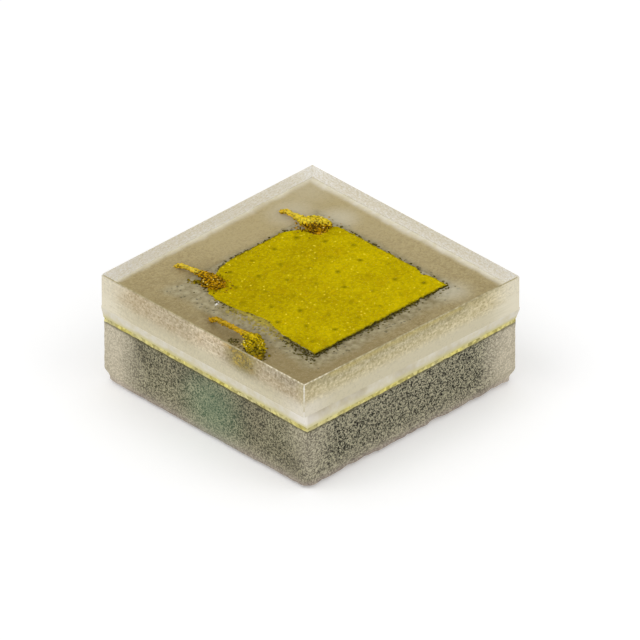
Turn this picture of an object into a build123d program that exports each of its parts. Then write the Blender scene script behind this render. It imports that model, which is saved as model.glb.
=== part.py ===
from build123d import *
import os

# A surface mount LED in a square ceramic package, in millimetres.
# Origin at the centre of the underside, +Z up. The bond wires run towards +Y.

# Package, with the same width of ceramic round the die on average
die_surround = 0.292
ceramic_height = 0.360
slab_overhang = 0.008
corner_skew = 0.035
clear_height = 0.190
slab_edge_break = 0.005

# Pads underneath
pad_height = 0.020
pad_inset = 0.072
pad_gap = 0.200
pad_corner_radius = 0.040
polarity_chamfer = 0.150

# Metal on top of the ceramic
trace_height = 0.012
trace_margin = 0.030
isolation_gap = 0.050
landing_border = 0.030

# Vias through the ceramic
via_diameter = 0.090
via_pitch = 0.260
via_rows = 2
anode_via_columns = 2
cathode_via_columns = 1
cathode_via_inset = 0.180

# Die, off centre on the package
die_side = 1.000
die_x = 0.045
die_y = 0.005
die_height = 0.090
solder_height = 0.005
solder_spread = 0.010

# Light-emitting layer, with its contact posts reaching up into it
emitter_height = 0.008
emitter_margin = 0.012
pad_notch = 0.205
pad_notch_radius = 0.040
post_diameter = 0.026
post_height = 0.006
post_pitch = 0.168
post_row_pitch = 0.135
post_margin = 0.050
post_clearance = 0.010
post_sides = 6

# Bond pads of the die, in its two +Y corners
bond_pad_side = 0.140
bond_pad_height = 0.004
bond_pad_inset = 0.050

# Diode beside the die
diode_side = 0.165
diode_height = 0.100
diode_inset = 0.0425
diode_y = -0.200
diode_pad_diameter = 0.095
diode_pad_height = 0.003
diode_pad_offset = 0.024

# Bond wires
wire_diameter = 0.025
wire_sides = 8
ball_diameter = 0.074
ball_height = 0.018
ball_edge_break = 0.004
die_loop_rise = 0.052
diode_loop_rise = 0.070
knee_radius = 0.034
shoulder_share = 0.740
shoulder_drop = 0.030
shoulder_radius = 0.060
foot_radius = 0.028
foot_length = 0.022
foot_sink = 0.003
stitch_length = 0.062
stitch_width = 0.046
stitch_corner = 0.014
stitch_height = 0.008
landing_inset = 0.034
landing_drift = 0.020
diode_landing_inset = 0.250
diode_landing_side = 0.075

# Phosphor coat, sprayed over everything above the ceramic
coat_cover = 0.013
coat_on_die = 0.025
coat_on_diode = 0.018
coat_side = 0.008
coat_on_wire = 0.0065
blob_diameter = 0.124
blob_tip_diameter = 0.046
blob_height = 0.034

# White fill, drawn up over the two wired corners of the die
fill_drop = 0.005
lap_start = 0.330
lap_side = 0.200
lap_reach = 0.085
lap_slope = 45
lap_cover = 0.008

# Heights above the underside
ceramic_top = pad_height + ceramic_height
trace_top = ceramic_top + trace_height
film_top = trace_top + coat_cover
solder_top = trace_top + solder_height
die_top = solder_top + die_height
emitter_top = die_top + emitter_height
cap_top = emitter_top + coat_on_die
bond_pad_top = die_top + bond_pad_height
diode_top = solder_top + diode_height
diode_pad_top = diode_top + diode_pad_height
diode_cap_top = diode_top + coat_on_diode
fill_top = emitter_top - fill_drop
slab_top = fill_top + clear_height

# Edges that follow from the sizes above
ceramic_side = die_side + 2 * die_surround
metal_edge = ceramic_side / 2 - trace_margin
pad_edge = ceramic_side / 2 - pad_inset
slab_edge = ceramic_side / 2 + slab_overhang
die_left = die_x - die_side / 2
die_back = die_y + die_side / 2
diode_x = diode_inset + diode_side / 2 - metal_edge
arm_right = die_left - landing_border - isolation_gap
arm_front = diode_y + diode_side / 2 + landing_border + isolation_gap
bar_front = die_back + landing_border + isolation_gap
bar_right = die_x - isolation_gap / 2
emitter_side = die_side - 2 * emitter_margin
anode_via_x = (pad_gap / 2 + pad_edge) / 2
cathode_via_x = (arm_right - metal_edge) / 2
cathode_via_y = metal_edge - cathode_via_inset - via_pitch / 2
bond_pad_reach = (die_side - bond_pad_side) / 2 - bond_pad_inset
post_edge = emitter_side / 2 - post_margin
post_pad_edge = die_side / 2 - pad_notch - post_diameter / 2 - post_clearance


def save_piece(piece, label):
    """Names a finished piece and writes it out."""
    piece.label = label
    export_step(piece, f"parts/{label}.step")


def plate(corners, bottom, height):
    """A flat plate on a closed outline."""
    with BuildPart() as flat:
        with BuildSketch(Plane.XY.offset(bottom)):
            with BuildLine():
                Polyline(*corners, close=True)
            make_face()
        extrude(amount=height)
    return flat.part


def block(x, y, side, bottom, height):
    """A square block centred on x, y."""
    with BuildPart() as square:
        with BuildSketch(Plane.XY.offset(bottom)):
            with Locations((x, y)):
                Rectangle(side, side)
        extrude(amount=height)
    return square.part


def via_group(x, y, columns):
    """Filled holes through the whole ceramic, in a grid."""
    with BuildPart() as vias:
        with BuildSketch(Plane.XY.offset(pad_height)):
            with Locations((x, y)):
                with GridLocations(via_pitch, via_pitch, columns, via_rows):
                    Circle(via_diameter / 2)
        extrude(amount=ceramic_height)
    return vias.part


def post_places():
    """Staggered rows of contact posts, without those that a bond pad displaces."""
    last_row = int(post_edge / post_row_pitch)
    last_post = int(post_edge / post_pitch) + 1
    places = []
    for row in range(-last_row, last_row + 1):
        y = row * post_row_pitch
        for step in range(-last_post, last_post + 1):
            x = (step + row % 2 / 2) * post_pitch
            clear_of_pads = abs(x) < post_pad_edge or y < post_pad_edge
            if abs(x) <= post_edge and clear_of_pads:
                places.append((die_x + x, die_y + y))
    return places


def wire_route(ball, seat, rise, landing):
    """Path of a bond wire: up from its ball, over, and down to a flat foot on the trace."""
    start = Vector(ball[0], ball[1], seat + ball_height / 2)
    knee = Vector(ball[0], ball[1], seat + ball_height + rise)
    foot = Vector(landing[0], landing[1], trace_top + wire_diameter / 2 - foot_sink)
    span = Vector(foot.X - knee.X, foot.Y - knee.Y, 0)
    shoulder = knee + span * shoulder_share - Vector(0, 0, shoulder_drop)
    end = foot + span.normalized() * foot_length
    with BuildLine() as route:
        FilletPolyline(start, knee, shoulder, foot, end, radius=(knee_radius, shoulder_radius, foot_radius))
    return route.line


def wire_run(route, radius):
    """A nearly round section, with few flats, swept along a wire's path."""
    with BuildPart() as run:
        with BuildSketch(Plane(origin=route @ 0, z_dir=route % 0)):
            RegularPolygon(radius, wire_sides)
        sweep(path=route)
    return run.part


def bond_ball(place, seat):
    """The flattened ball that starts a bond wire."""
    with BuildPart() as ball:
        with Locations((place[0], place[1], seat)):
            Cylinder(ball_diameter / 2, ball_height, align=(Align.CENTER, Align.CENTER, Align.MIN))
        chamfer(ball.faces().sort_by(Axis.Z)[-1].edges(), ball_edge_break)
    return ball.part


def bond_stitch(route, landing):
    """The flattened tail where the wire is pressed on to the trace."""
    with BuildPart() as stitch:
        place = Plane(origin=(landing[0], landing[1], trace_top), x_dir=route % 1, z_dir=(0, 0, 1))
        with BuildSketch(place) as outline:
            Rectangle(stitch_length, stitch_width)
            chamfer(outline.vertices(), stitch_corner)
        extrude(amount=stitch_height)
    return stitch.part


def bond_wire(route, ball, seat, landing):
    """A bond wire with its ball at one end and its stitch at the other."""
    with BuildPart() as wire:
        add(wire_run(route, wire_diameter / 2))
        split(bisect_by=Plane.XY.offset(trace_top), keep=Keep.TOP)
        add(bond_ball(ball, seat))
        add(bond_stitch(route, landing))
    return wire.part


def coat_blob(place, seat, rim):
    """The heap of phosphor on a bonded ball, from its seat up past the coat around it."""
    with BuildPart() as blob:
        with Locations((place[0], place[1], seat)):
            Cylinder(blob_diameter / 2, rim - seat, align=(Align.CENTER, Align.CENTER, Align.MIN))
        with Locations((place[0], place[1], rim)):
            Cone(blob_diameter / 2, blob_tip_diameter / 2, blob_height, align=(Align.CENTER, Align.CENTER, Align.MIN))
    return blob.part


os.makedirs("parts", exist_ok=True)

# Pads underneath: the anode, and the cathode with its chamfered corner
with BuildPart() as anode_pad:
    with BuildSketch(Plane.XY):
        with Locations((anode_via_x, 0)):
            RectangleRounded(pad_edge - pad_gap / 2, 2 * pad_edge, pad_corner_radius)
    extrude(amount=pad_height)
save_piece(anode_pad.part, "anode_pad")

with BuildPart() as cathode_pad:
    with BuildSketch(Plane.XY) as cathode_outline:
        with Locations((-anode_via_x, 0)):
            Rectangle(pad_edge - pad_gap / 2, 2 * pad_edge)
        by_distance = cathode_outline.vertices().sort_by_distance((-pad_edge, pad_edge))
        fillet(by_distance[1:], pad_corner_radius)
        chamfer(cathode_outline.vertices().sort_by_distance((-pad_edge, pad_edge))[:1], polarity_chamfer)
    extrude(amount=pad_height)
save_piece(cathode_pad.part, "cathode_pad")

# Filled vias, and the ceramic round them
anode_vias = via_group(anode_via_x, die_y, anode_via_columns)
cathode_vias = via_group(cathode_via_x, cathode_via_y, cathode_via_columns)
save_piece(anode_vias, "anode_vias")
save_piece(cathode_vias, "cathode_vias")

with BuildPart() as ceramic_substrate:
    add(block(0, 0, ceramic_side, pad_height, ceramic_height))
    add(anode_vias, mode=Mode.SUBTRACT)
    add(cathode_vias, mode=Mode.SUBTRACT)
save_piece(ceramic_substrate.part, "ceramic_substrate")

# Metal on top: an L for the cathode, and the anode side that carries the die and the diode
trace_corners = [
    (-metal_edge, arm_front),
    (arm_right, arm_front),
    (arm_right, bar_front),
    (bar_right, bar_front),
    (bar_right, metal_edge),
    (-metal_edge, metal_edge),
]
attach_corners = [
    (-metal_edge, -metal_edge),
    (metal_edge, -metal_edge),
    (metal_edge, metal_edge),
    (bar_right + isolation_gap, metal_edge),
    (bar_right + isolation_gap, bar_front - isolation_gap),
    (arm_right + isolation_gap, bar_front - isolation_gap),
    (arm_right + isolation_gap, arm_front - isolation_gap),
    (-metal_edge, arm_front - isolation_gap),
]
bond_trace = plate(trace_corners, ceramic_top, trace_height)
die_attach_pad = plate(attach_corners, ceramic_top, trace_height)
save_piece(bond_trace, "bond_trace")
save_piece(die_attach_pad, "die_attach_pad")

# Die: solder, body, light-emitting layer, contact posts and two bond pads
die_solder = block(die_x, die_y, die_side + 2 * solder_spread, trace_top, solder_height)
led_die = block(die_x, die_y, die_side, solder_top, die_height)
save_piece(die_solder, "die_solder")
save_piece(led_die, "led_die")

with BuildPart() as contact_posts:
    with BuildSketch(Plane.XY.offset(die_top)):
        with Locations(post_places()):
            RegularPolygon(post_diameter / 2, post_sides)
    extrude(amount=post_height)
save_piece(contact_posts.part, "contact_posts")

with BuildPart() as emitter_layer:
    with BuildSketch(Plane.XY.offset(die_top)):
        with Locations((die_x, die_y)):
            Rectangle(emitter_side, emitter_side)
        for side in (-1, 1):
            with Locations((die_x + side * die_side / 2, die_back)):
                RectangleRounded(2 * pad_notch, 2 * pad_notch, pad_notch_radius, mode=Mode.SUBTRACT)
    extrude(amount=emitter_height)
    add(contact_posts.part, mode=Mode.SUBTRACT)
save_piece(emitter_layer.part, "emitter_layer")

bond_pad_left = (die_x - bond_pad_reach, die_y + bond_pad_reach)
bond_pad_right = (die_x + bond_pad_reach, die_y + bond_pad_reach)
bond_pads = []
for number, place in enumerate((bond_pad_right, bond_pad_left), start=1):
    bond_pad = block(*place, bond_pad_side, die_top, bond_pad_height)
    save_piece(bond_pad, f"die_bond_pad_{number}")
    bond_pads.append(bond_pad)

# Diode: solder, body and bond pad
diode_solder = block(diode_x, diode_y, diode_side + 2 * solder_spread, trace_top, solder_height)
esd_diode = block(diode_x, diode_y, diode_side, solder_top, diode_height)
save_piece(diode_solder, "diode_solder")
save_piece(esd_diode, "esd_diode")

diode_ball = (diode_x + diode_pad_offset, diode_y + diode_pad_offset / 2)
with BuildPart() as diode_bond_pad:
    with BuildSketch(Plane.XY.offset(diode_top)):
        with Locations(diode_ball):
            Circle(diode_pad_diameter / 2)
    extrude(amount=diode_pad_height)
save_piece(diode_bond_pad.part, "diode_bond_pad")

# Bond wires: ball place, seat, loop rise, landing and the level of the coat round the ball
bar_landing = metal_edge - landing_inset
wire_plans = [
    (bond_pad_right, bond_pad_top, die_loop_rise, (bond_pad_right[0] + landing_drift, bar_landing), cap_top),
    (bond_pad_left, bond_pad_top, die_loop_rise, (bond_pad_left[0] - landing_drift, bar_landing), cap_top),
    (
        diode_ball,
        diode_pad_top,
        diode_loop_rise,
        (arm_right - diode_landing_side, arm_front + diode_landing_inset),
        diode_cap_top,
    ),
]
routes = []
bond_wires = []
for number, (ball, seat, rise, landing, rim) in enumerate(wire_plans, start=1):
    route = wire_route(ball, seat, rise, landing)
    wire = bond_wire(route, ball, seat, landing)
    save_piece(wire, f"bond_wire_{number}")
    routes.append(route)
    bond_wires.append(wire)

# Everything under the coat, and the outer form of the coat over it
covered = [bond_trace, die_attach_pad, die_solder, led_die, contact_posts.part, emitter_layer.part]
covered += [diode_solder, esd_diode, diode_bond_pad.part] + bond_pads + bond_wires

with BuildPart() as coat_form:
    add(block(0, 0, ceramic_side, ceramic_top, film_top - ceramic_top))
    add(block(die_x, die_y, die_side + 2 * coat_side, ceramic_top, cap_top - ceramic_top))
    add(block(diode_x, diode_y, diode_side + 2 * coat_side, ceramic_top, diode_cap_top - ceramic_top))
    for route, (ball, seat, rise, landing, rim) in zip(routes, wire_plans):
        add(wire_run(route, wire_diameter / 2 + coat_on_wire))
        add(coat_blob(ball, seat, rim))
    split(bisect_by=Plane.XY.offset(ceramic_top), keep=Keep.TOP)

with BuildPart() as phosphor_coat:
    add(coat_form.part)
    for piece in covered:
        add(piece, mode=Mode.SUBTRACT)
save_piece(phosphor_coat.part, "phosphor_coat")

# White fill: flares out to the slab's sides, and laps over the wired corners of the die
slab_corners = [
    (-slab_edge, -slab_edge + corner_skew),
    (slab_edge, -slab_edge),
    (slab_edge, slab_edge),
    (-slab_edge, slab_edge),
]
lap_height = cap_top - fill_top + lap_cover
with BuildPart() as reflector_fill:
    with BuildSketch(Plane.XY.offset(film_top)):
        Rectangle(ceramic_side, ceramic_side)
    with BuildSketch(Plane.XY.offset(fill_top)):
        with BuildLine():
            Polyline(*slab_corners, close=True)
        make_face()
    loft(ruled=True)
    for side in (-1, 1):
        corner_x = die_x + side * die_side / 2
        inner = (corner_x - side * lap_start, die_back)
        near = (corner_x, die_back - lap_side)
        outer = (corner_x + side * lap_reach, die_back - lap_side)
        far = (corner_x + side * lap_reach, die_back + lap_reach)
        back = (corner_x - side * lap_start, die_back + lap_reach)
        with BuildSketch(Plane.XY.offset(fill_top)):
            with BuildLine():
                Polyline(inner, near, outer, far, back, close=True)
            make_face()
        extrude(amount=lap_height, taper=lap_slope)
    add(coat_form.part, mode=Mode.SUBTRACT)
save_piece(reflector_fill.part, "reflector_fill")

# Clear encapsulant: closes the slab over the fill, the coat and the wires
with BuildPart() as encapsulant:
    with BuildSketch(Plane.XY.offset(fill_top)):
        with BuildLine():
            Polyline(*slab_corners, close=True)
        make_face()
    extrude(amount=clear_height)
    chamfer(encapsulant.faces().sort_by(Axis.Z)[-1].edges(), slab_edge_break)
    add(coat_form.part, mode=Mode.SUBTRACT)
    add(reflector_fill.part, mode=Mode.SUBTRACT)
save_piece(encapsulant.part, "encapsulant")
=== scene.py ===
# %% [markdown]
# # A phosphor-converted LED chip, 1.6 mm across, seen as under a macro lens
#
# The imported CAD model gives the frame: every metal pad, via, die and wire is already in place, in metres.
# This lesson dresses it. The outer forms (ceramic, phosphor, white fill, clear slab) get meshes of their own,
# because their look lives in ragged sawn edges and sprayed grains.

# %% Load the frame
import math
import random
import bmesh
import bpy
from mathutils import Euler, Matrix, Vector, noise


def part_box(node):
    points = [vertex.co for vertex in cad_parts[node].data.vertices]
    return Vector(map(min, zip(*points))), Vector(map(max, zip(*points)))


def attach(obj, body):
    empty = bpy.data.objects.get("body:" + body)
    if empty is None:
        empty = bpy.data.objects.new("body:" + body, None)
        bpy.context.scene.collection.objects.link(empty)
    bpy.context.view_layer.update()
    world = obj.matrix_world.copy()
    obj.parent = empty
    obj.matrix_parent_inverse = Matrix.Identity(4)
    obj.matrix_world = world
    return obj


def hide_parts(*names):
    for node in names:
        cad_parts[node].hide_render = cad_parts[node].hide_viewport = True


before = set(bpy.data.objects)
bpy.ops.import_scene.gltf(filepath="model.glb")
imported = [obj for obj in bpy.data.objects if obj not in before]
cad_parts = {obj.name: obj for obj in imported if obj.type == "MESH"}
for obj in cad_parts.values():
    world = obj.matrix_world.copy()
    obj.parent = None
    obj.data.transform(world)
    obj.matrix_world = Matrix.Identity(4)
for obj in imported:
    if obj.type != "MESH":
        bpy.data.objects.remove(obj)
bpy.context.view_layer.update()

# %% [markdown]
# ## Units and small helpers
#
# Shapes are thought out in millimetres and scaled once, at the end of each piece. A colour is written as the
# sRGB hex value that a picture shows, and one function makes it linear for Cycles. One more adds a shader
# node with its settings and links, so a material reads as a list of steps.

# %% Helpers
MM = 0.001
SOFT = {"interpolation_type": "SMOOTHSTEP"}
COLOUR = {"data_type": "RGBA"}
PLUS, MINUS, TIMES, TIMES_PLUS, LARGER, ABSOLUTE = [
    {"operation": name} for name in ("ADD", "SUBTRACT", "MULTIPLY", "MULTIPLY_ADD", "MAXIMUM", "ABSOLUTE")
]


def linear(hex_code):
    """The linear colour behind an sRGB hex code, with full alpha."""
    values = [int(hex_code[i:i + 2], 16) / 255 for i in (1, 3, 5)]
    return tuple(v / 12.92 if v <= 0.04045 else ((v + 0.055) / 1.055) ** 2.4 for v in values) + (1.0,)


def per_mm(size):
    """The texture scale whose features are that many millimetres apart."""
    return 1 / (size * MM)


def add(tree, kind, inputs=(), **settings):
    """Adds a shader node with its settings, and its inputs by name or as a list, in order, for those in use.

    A node stands for its first output in use, and a hex code for its linear colour.
    """
    made = tree.nodes.new("ShaderNode" + kind)
    for name, value in settings.items():
        setattr(made, name, value)
    if isinstance(inputs, dict):
        pairs = [(made.inputs[name], value) for name, value in inputs.items()]
    else:
        pairs = zip([socket for socket in made.inputs if socket.enabled], inputs)
    for socket, value in pairs:
        if isinstance(value, bpy.types.Node):
            value = next(out for out in value.outputs if out.enabled)
        if isinstance(value, bpy.types.NodeSocket):
            tree.links.new(value, socket)
        else:
            socket.default_value = linear(value) if isinstance(value, str) else value
    return made


def new_material(name):
    """An empty node material, and the Object coordinates to draw patterns in."""
    material = bpy.data.materials.new(name)
    material.use_nodes = True
    tree = material.node_tree
    tree.nodes.clear()
    return material, tree, add(tree, "TexCoord").outputs["Object"]


def grain_tones(tree, place, size):
    """Three random tones, from 0 to 1, for each grain of that many millimetres."""
    cells = add(tree, "TexVoronoi", [place, per_mm(size)])
    return add(tree, "SeparateColor", [cells.outputs["Color"]])


def soft_spot(tree, place, centre, outer, inner, most=1.0):
    """A round spot about a point in millimetres: 0 outside the outer radius and most within the inner one."""
    away = add(tree, "VectorMath", [place, [v * MM for v in centre]], operation="DISTANCE")
    return add(tree, "MapRange", [away, outer * MM, inner * MM, 0.0, most], **SOFT)


def finish_piece(bm, name, materials, slot, replaces):
    """Turns a bmesh in millimetres into a piece in metres that rides on the package."""
    bmesh.ops.scale(bm, vec=(MM, MM, MM), verts=bm.verts)
    mesh = bpy.data.meshes.new(name)
    bm.to_mesh(mesh)
    bm.free()
    for material in materials:
        mesh.materials.append(material)
    piece = bpy.data.objects.new(name, mesh)
    bpy.context.scene.collection.objects.link(piece)
    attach(piece, "root")
    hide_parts(*replaces)
    print(name, "triangles", sum(len(p.vertices) - 2 for p in mesh.polygons))


def points(geometry):
    """The points among what a mesh operation made."""
    return [g for g in geometry if isinstance(g, bmesh.types.BMVert)]


def smoothstep(low, high, value):
    """0 below low, 1 above high, with a soft change between."""
    share = min(max((value - low) / (high - low), 0.0), 1.0)
    return share * share * (3 - 2 * share)


def grain(point, size, seed=0.0):
    """Smooth noise from -1 to 1 whose bumps are that many millimetres across."""
    return noise.noise(Vector(point) / size + Vector((seed, seed * 1.7, seed * 0.3)))


# %% [markdown]
# ## Sizes read from the frame
#
# The pieces start from the boxes of the CAD nodes that they stand for, so they can't drift from them. All are
# in millimetres above the underside.

# %% Sizes
def box_mm(node):
    """Lowest and highest corner of a CAD node, in millimetres."""
    low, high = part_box(node)
    return low / MM, high / MM


ceramic_low, ceramic_high = box_mm("ceramic_substrate")
slab_low, slab_high = box_mm("encapsulant")
fill_low, fill_high = box_mm("reflector_fill")
die_low, die_high = box_mm("led_die")
_, emitter_high = box_mm("emitter_layer")
diode_low, diode_high = box_mm("esd_diode")

slab_edge = slab_high.x
ceramic_edge = ceramic_high.x
film_top = fill_low.z
floor_level = slab_low.z
cap_top = emitter_high.z + 0.025
diode_cap_top = diode_high.z + 0.018
die_centre = (die_low + die_high) / 2
diode_centre = (diode_low + diode_high) / 2
cap_edge = (die_high.x - die_low.x) / 2 + 0.008

# %% [markdown]
# ## Camera, floor and light
#
# A macro picture of so small a part is taken from far away with a long lens, nearly without perspective. The
# camera looks down at 32 degrees on the corner between two sides. The light is a plain soft studio light: an
# even pale world and two large soft boxes, together strong enough that a colour comes out about as written.
# The background is white because the camera, reflections and refractions see the world at strength 1, while
# it lights the part a little less. The floor is open under the part, which no view from above shows, so that
# light reaches the pads in a view from below.

# %% Camera
AZIMUTH, ELEVATION = 315.48, 32.35
LENS, SENSOR = 1200.0, 36.0
FRAME_WIDTH = 3.455
TARGET_RIGHT, TARGET_UP = 0.0515, -0.2435


def direction(azimuth, elevation):
    """The way from the part to a camera or a lamp that stands that many degrees round it and above it."""
    a, e = math.radians(azimuth), math.radians(elevation)
    return Vector((math.sin(a) * math.cos(e), -math.cos(a) * math.cos(e), math.sin(e)))


def aim(name, data, point, way, reach):
    """Puts a camera or a lamp that far off a point in millimetres, looking back at it."""
    holder = bpy.data.objects.new(name, data)
    holder.location = (point + way * reach) * MM
    holder.rotation_mode = "QUATERNION"
    holder.rotation_quaternion = way.to_track_quat("Z", "Y")
    bpy.context.scene.collection.objects.link(holder)
    return holder


back = direction(AZIMUTH, ELEVATION)
right = direction(AZIMUTH + 90, 0)
target = Vector((0, 0, slab_high.z)) + right * TARGET_RIGHT + back.cross(right) * TARGET_UP
camera = bpy.data.cameras.new("macro_camera")
camera.lens, camera.sensor_width = LENS, SENSOR
camera.clip_start, camera.clip_end = 0.001, 1.0
bpy.context.scene.camera = aim("macro_camera", camera, target, back, FRAME_WIDTH * LENS / SENSOR)
bpy.context.scene.view_settings.view_transform = "Standard"

# %% World, soft boxes and floor
WORLD_LEVEL = 0.72

world = bpy.data.worlds.new("studio")
bpy.context.scene.world = world
world.use_nodes = True
sky = world.node_tree
sky.nodes.clear()
path = add(sky, "LightPath")
seen = add(sky, "Math", [path.outputs["Is Camera Ray"], path.outputs["Is Glossy Ray"]], **LARGER)
seen = add(sky, "Math", [seen, path.outputs["Is Transmission Ray"]], **LARGER)
level = add(sky, "MapRange", [seen, 0.0, 1.0, WORLD_LEVEL, 1.0])
studio = add(sky, "Background", {"Color": "#FFFFFF", "Strength": level})
add(sky, "OutputWorld", [studio])

LAMP_REACH = 40.0


def soft_box(name, azimuth, elevation, side, lit):
    """A square lamp that adds the given share of full white to a surface that faces it."""
    lamp = bpy.data.lights.new(name, "AREA")
    lamp.shape, lamp.size = "SQUARE", side * MM
    lamp.energy = lit * math.pi * math.pi * (LAMP_REACH * MM) ** 2
    aim(name, lamp, Vector(), direction(azimuth, elevation), LAMP_REACH)


soft_box("soft_box_left", 250, 50, 24, 0.22)
soft_box("soft_box_right", 20, 40, 24, 0.14)

paper, tree, _ = new_material("matt_white_paper")
diffuse = add(tree, "BsdfDiffuse", {"Color": "#F0F0F0"})
lift = add(tree, "Math", [add(tree, "LightPath").outputs["Is Camera Ray"], 0.22], **TIMES)
glow = add(tree, "Emission", {"Color": "#FFFFFF", "Strength": lift})
top = add(tree, "AddShader", [diffuse, glow])
below = add(tree, "NewGeometry").outputs["Backfacing"]
add(tree, "OutputMaterial", [add(tree, "MixShader", [below, top, add(tree, "BsdfTransparent")])])

FLOOR_EDGE, OPENING_EDGE = 120.0, 0.73

floor_mesh = bpy.data.meshes.new("floor")
bm = bmesh.new()
bmesh.ops.create_grid(bm, x_segments=3, y_segments=3, size=FLOOR_EDGE * MM)
for vert in bm.verts:
    vert.co.xy = [v if abs(v) > 0.1 else math.copysign(OPENING_EDGE * MM, v) for v in vert.co.xy]
bmesh.ops.delete(bm, geom=[f for f in bm.faces if f.calc_area() < (2 * MM) ** 2], context="FACES")
bm.to_mesh(floor_mesh)
bm.free()
floor_mesh.materials.append(paper)
floor = bpy.data.objects.new("floor", floor_mesh)
bpy.context.scene.collection.objects.link(floor)

# %% [markdown]
# ## Ceramic
#
# The base is sintered ceramic, a grey translucent plate sawn out of a larger panel. Sawing leaves faces of
# torn crystal grains, edges that wander by a few micrometres and a chipped lower rim. The block is a cube
# with a fine grid on its faces, whose points are pulled in near the edges by noise, most at the bottom.

# %% Ceramic material
# Sintered ceramic, sawn: light enters and scatters between grains, so thin corners look pale and the middle
# dark. That light is painted into the colour: painted glow at the thin corners and the lower rim over a
# darker core. Each torn grain on the face shows as a speck about 0.007 mm across.
ceramic_look, tree, place = new_material("sintered_ceramic_sawn")
x, y, z = add(tree, "SeparateXYZ", [place]).outputs
cloud = add(tree, "TexNoise", [place, per_mm(0.22), 3.0])
# Painted light: the lower rim and the thin corners are painted paler, for light shining through the ceramic
# there.
painted_thin_light = add(tree, "MapRange", [z, 0.15 * MM, 0.02 * MM, 0.0, 0.45], **SOFT)
for operation, low, high, most in (("SUBTRACT", 1.36, 1.66, 1.0), ("ADD", 1.50, 1.78, 0.42)):
    across = add(tree, "Math", [add(tree, "Math", [x, y], operation=operation)], **ABSOLUTE)
    across = add(tree, "Math", [cloud, 0.30 * MM, across], **TIMES_PLUS)
    corner = add(tree, "MapRange", [across, low * MM, high * MM, 0.0, most], **SOFT)
    painted_thin_light = add(tree, "Math", [painted_thin_light, corner], **LARGER)
specks = grain_tones(tree, place, 0.0068)
fine = add(tree, "TexNoise", [place, per_mm(0.011), 3.0])
mottle = add(tree, "Math", [specks, fine], **TIMES)
mottle = add(tree, "MapRange", [mottle, 0.09, 0.44])
deep = add(tree, "MapRange", [cloud, 0.35, 0.65])
right_cut = add(tree, "MapRange", [y, -0.70 * MM, -0.785 * MM])
deep = add(tree, "Math", [right_cut, -1.0, deep], **TIMES_PLUS, use_clamp=True)
pit = add(tree, "Mix", [right_cut, "#38352A", "#121008"], **COLOUR)
crest = add(tree, "Mix", [right_cut, "#968F72", "#BAB496"], **COLOUR)
dark = add(tree, "Mix", [mottle, pit, crest], **COLOUR)
mid = add(tree, "Mix", [mottle, "#4C4A34", "#B6B090"], **COLOUR)
core = add(tree, "Mix", [deep, dark, mid], **COLOUR)
# The tone of that painted light.
bright = add(tree, "Mix", [mottle, "#B8AE96", "#DAD0B8"], **COLOUR)
blush = add(tree, "MapRange", [z, 0.07 * MM, 0.01 * MM, 0.0, 0.4], **SOFT)
tint = soft_spot(tree, place, (-0.79, -0.05, 0.20), 0.34, 0.02, 0.32)
joint = add(tree, "MapRange", [z, (ceramic_high.z - 0.016) * MM, (ceramic_high.z - 0.004) * MM, 0.0, 0.6])
body = core
for share, colour in ((painted_thin_light, bright), (blush, "#AE9A9C"), (tint, "#6E9C78"), (joint, "#5C5634")):
    body = add(tree, "Mix", [share, body, colour], **COLOUR)
torn = add(tree, "Bump", {"Height": specks, "Strength": 0.4, "Distance": 0.003 * MM})
shader = {"Base Color": body, "Roughness": 0.6, "Specular IOR Level": 0.2, "Normal": torn}
add(tree, "OutputMaterial", [add(tree, "BsdfPrincipled", shader)])

# %% Ceramic block
FRONT_CUT = 0.010
WORN = 0.06


def fine_block(low, high, cuts):
    """A block between two corners with a grid on its faces."""
    bm = bmesh.new()
    bmesh.ops.create_cube(bm, size=1)
    bmesh.ops.subdivide_edges(bm, edges=bm.edges[:], cuts=cuts, use_grid_fill=True)
    bmesh.ops.scale(bm, vec=high - low, verts=bm.verts)
    bmesh.ops.translate(bm, vec=(low + high) / 2, verts=bm.verts)
    return bm


def worn_ceramic(point):
    """Where a point of the block ends up after sawing: rounded upright corners and a chipped lower rim."""
    x, y, z = point
    in_x, in_y = ceramic_edge - abs(x), ceramic_edge - abs(y)
    low = 1 - smoothstep(ceramic_low.z, ceramic_low.z + 0.07, z)
    side = min(in_x, in_y)
    if side > WORN:
        return point
    near = 1 - smoothstep(0.0, WORN, side)
    wander = 0.0008 * (1 + grain((x, y, z * 0.4), 0.11)) + 0.0012 * (1 + grain((x, y, z), 0.03, 3.0))
    bites = max(grain((x, y, z), 0.12, 7.0), 0.0) + 0.7 * max(grain((x, y, z), 0.04, 11.0), 0.0)
    depth = 0.4 if in_x < in_y and x < 0 else 1.0
    chips = depth * (low * 0.020 * bites + low * low * 0.004)
    corner = (0.0015 + 0.017 * low) * max(1 - max(in_x, in_y) / 0.07, 0.0) ** 2
    push = near * (wander + chips + corner)
    lift = near * low * low * 0.014 * depth * max(grain((x, y, 0), 0.09, 5.0) + 0.1, 0.0)
    pull_x = push if in_x < WORN else 0.0
    pull_y = push if in_y < WORN else 0.0
    if y < 0 and in_y < WORN:
        pull_y += FRONT_CUT * near
    return Vector((x - math.copysign(pull_x, x), y - math.copysign(pull_y, y), z + lift))


bm = fine_block(ceramic_low, ceramic_high, 63)
for vert in bm.verts:
    vert.co = worn_ceramic(vert.co)
bmesh.ops.recalc_face_normals(bm, faces=bm.faces)
finish_piece(bm, "ceramic_block", [ceramic_look], "ceramic", ["ceramic_substrate"])

# %% [markdown]
# ## White fill
#
# White silicone is poured round the die after the wires are bonded. It creeps up the two wired corners of the
# die, a little over its edge, and up the saw lane where the outer walls will be: a shallow dish. The piece is
# one grid: a height function gives the dish, the laps on the die and the mound over the diode. What the
# phosphor cap covers is deleted, and the rest is extruded down to the film.

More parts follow.
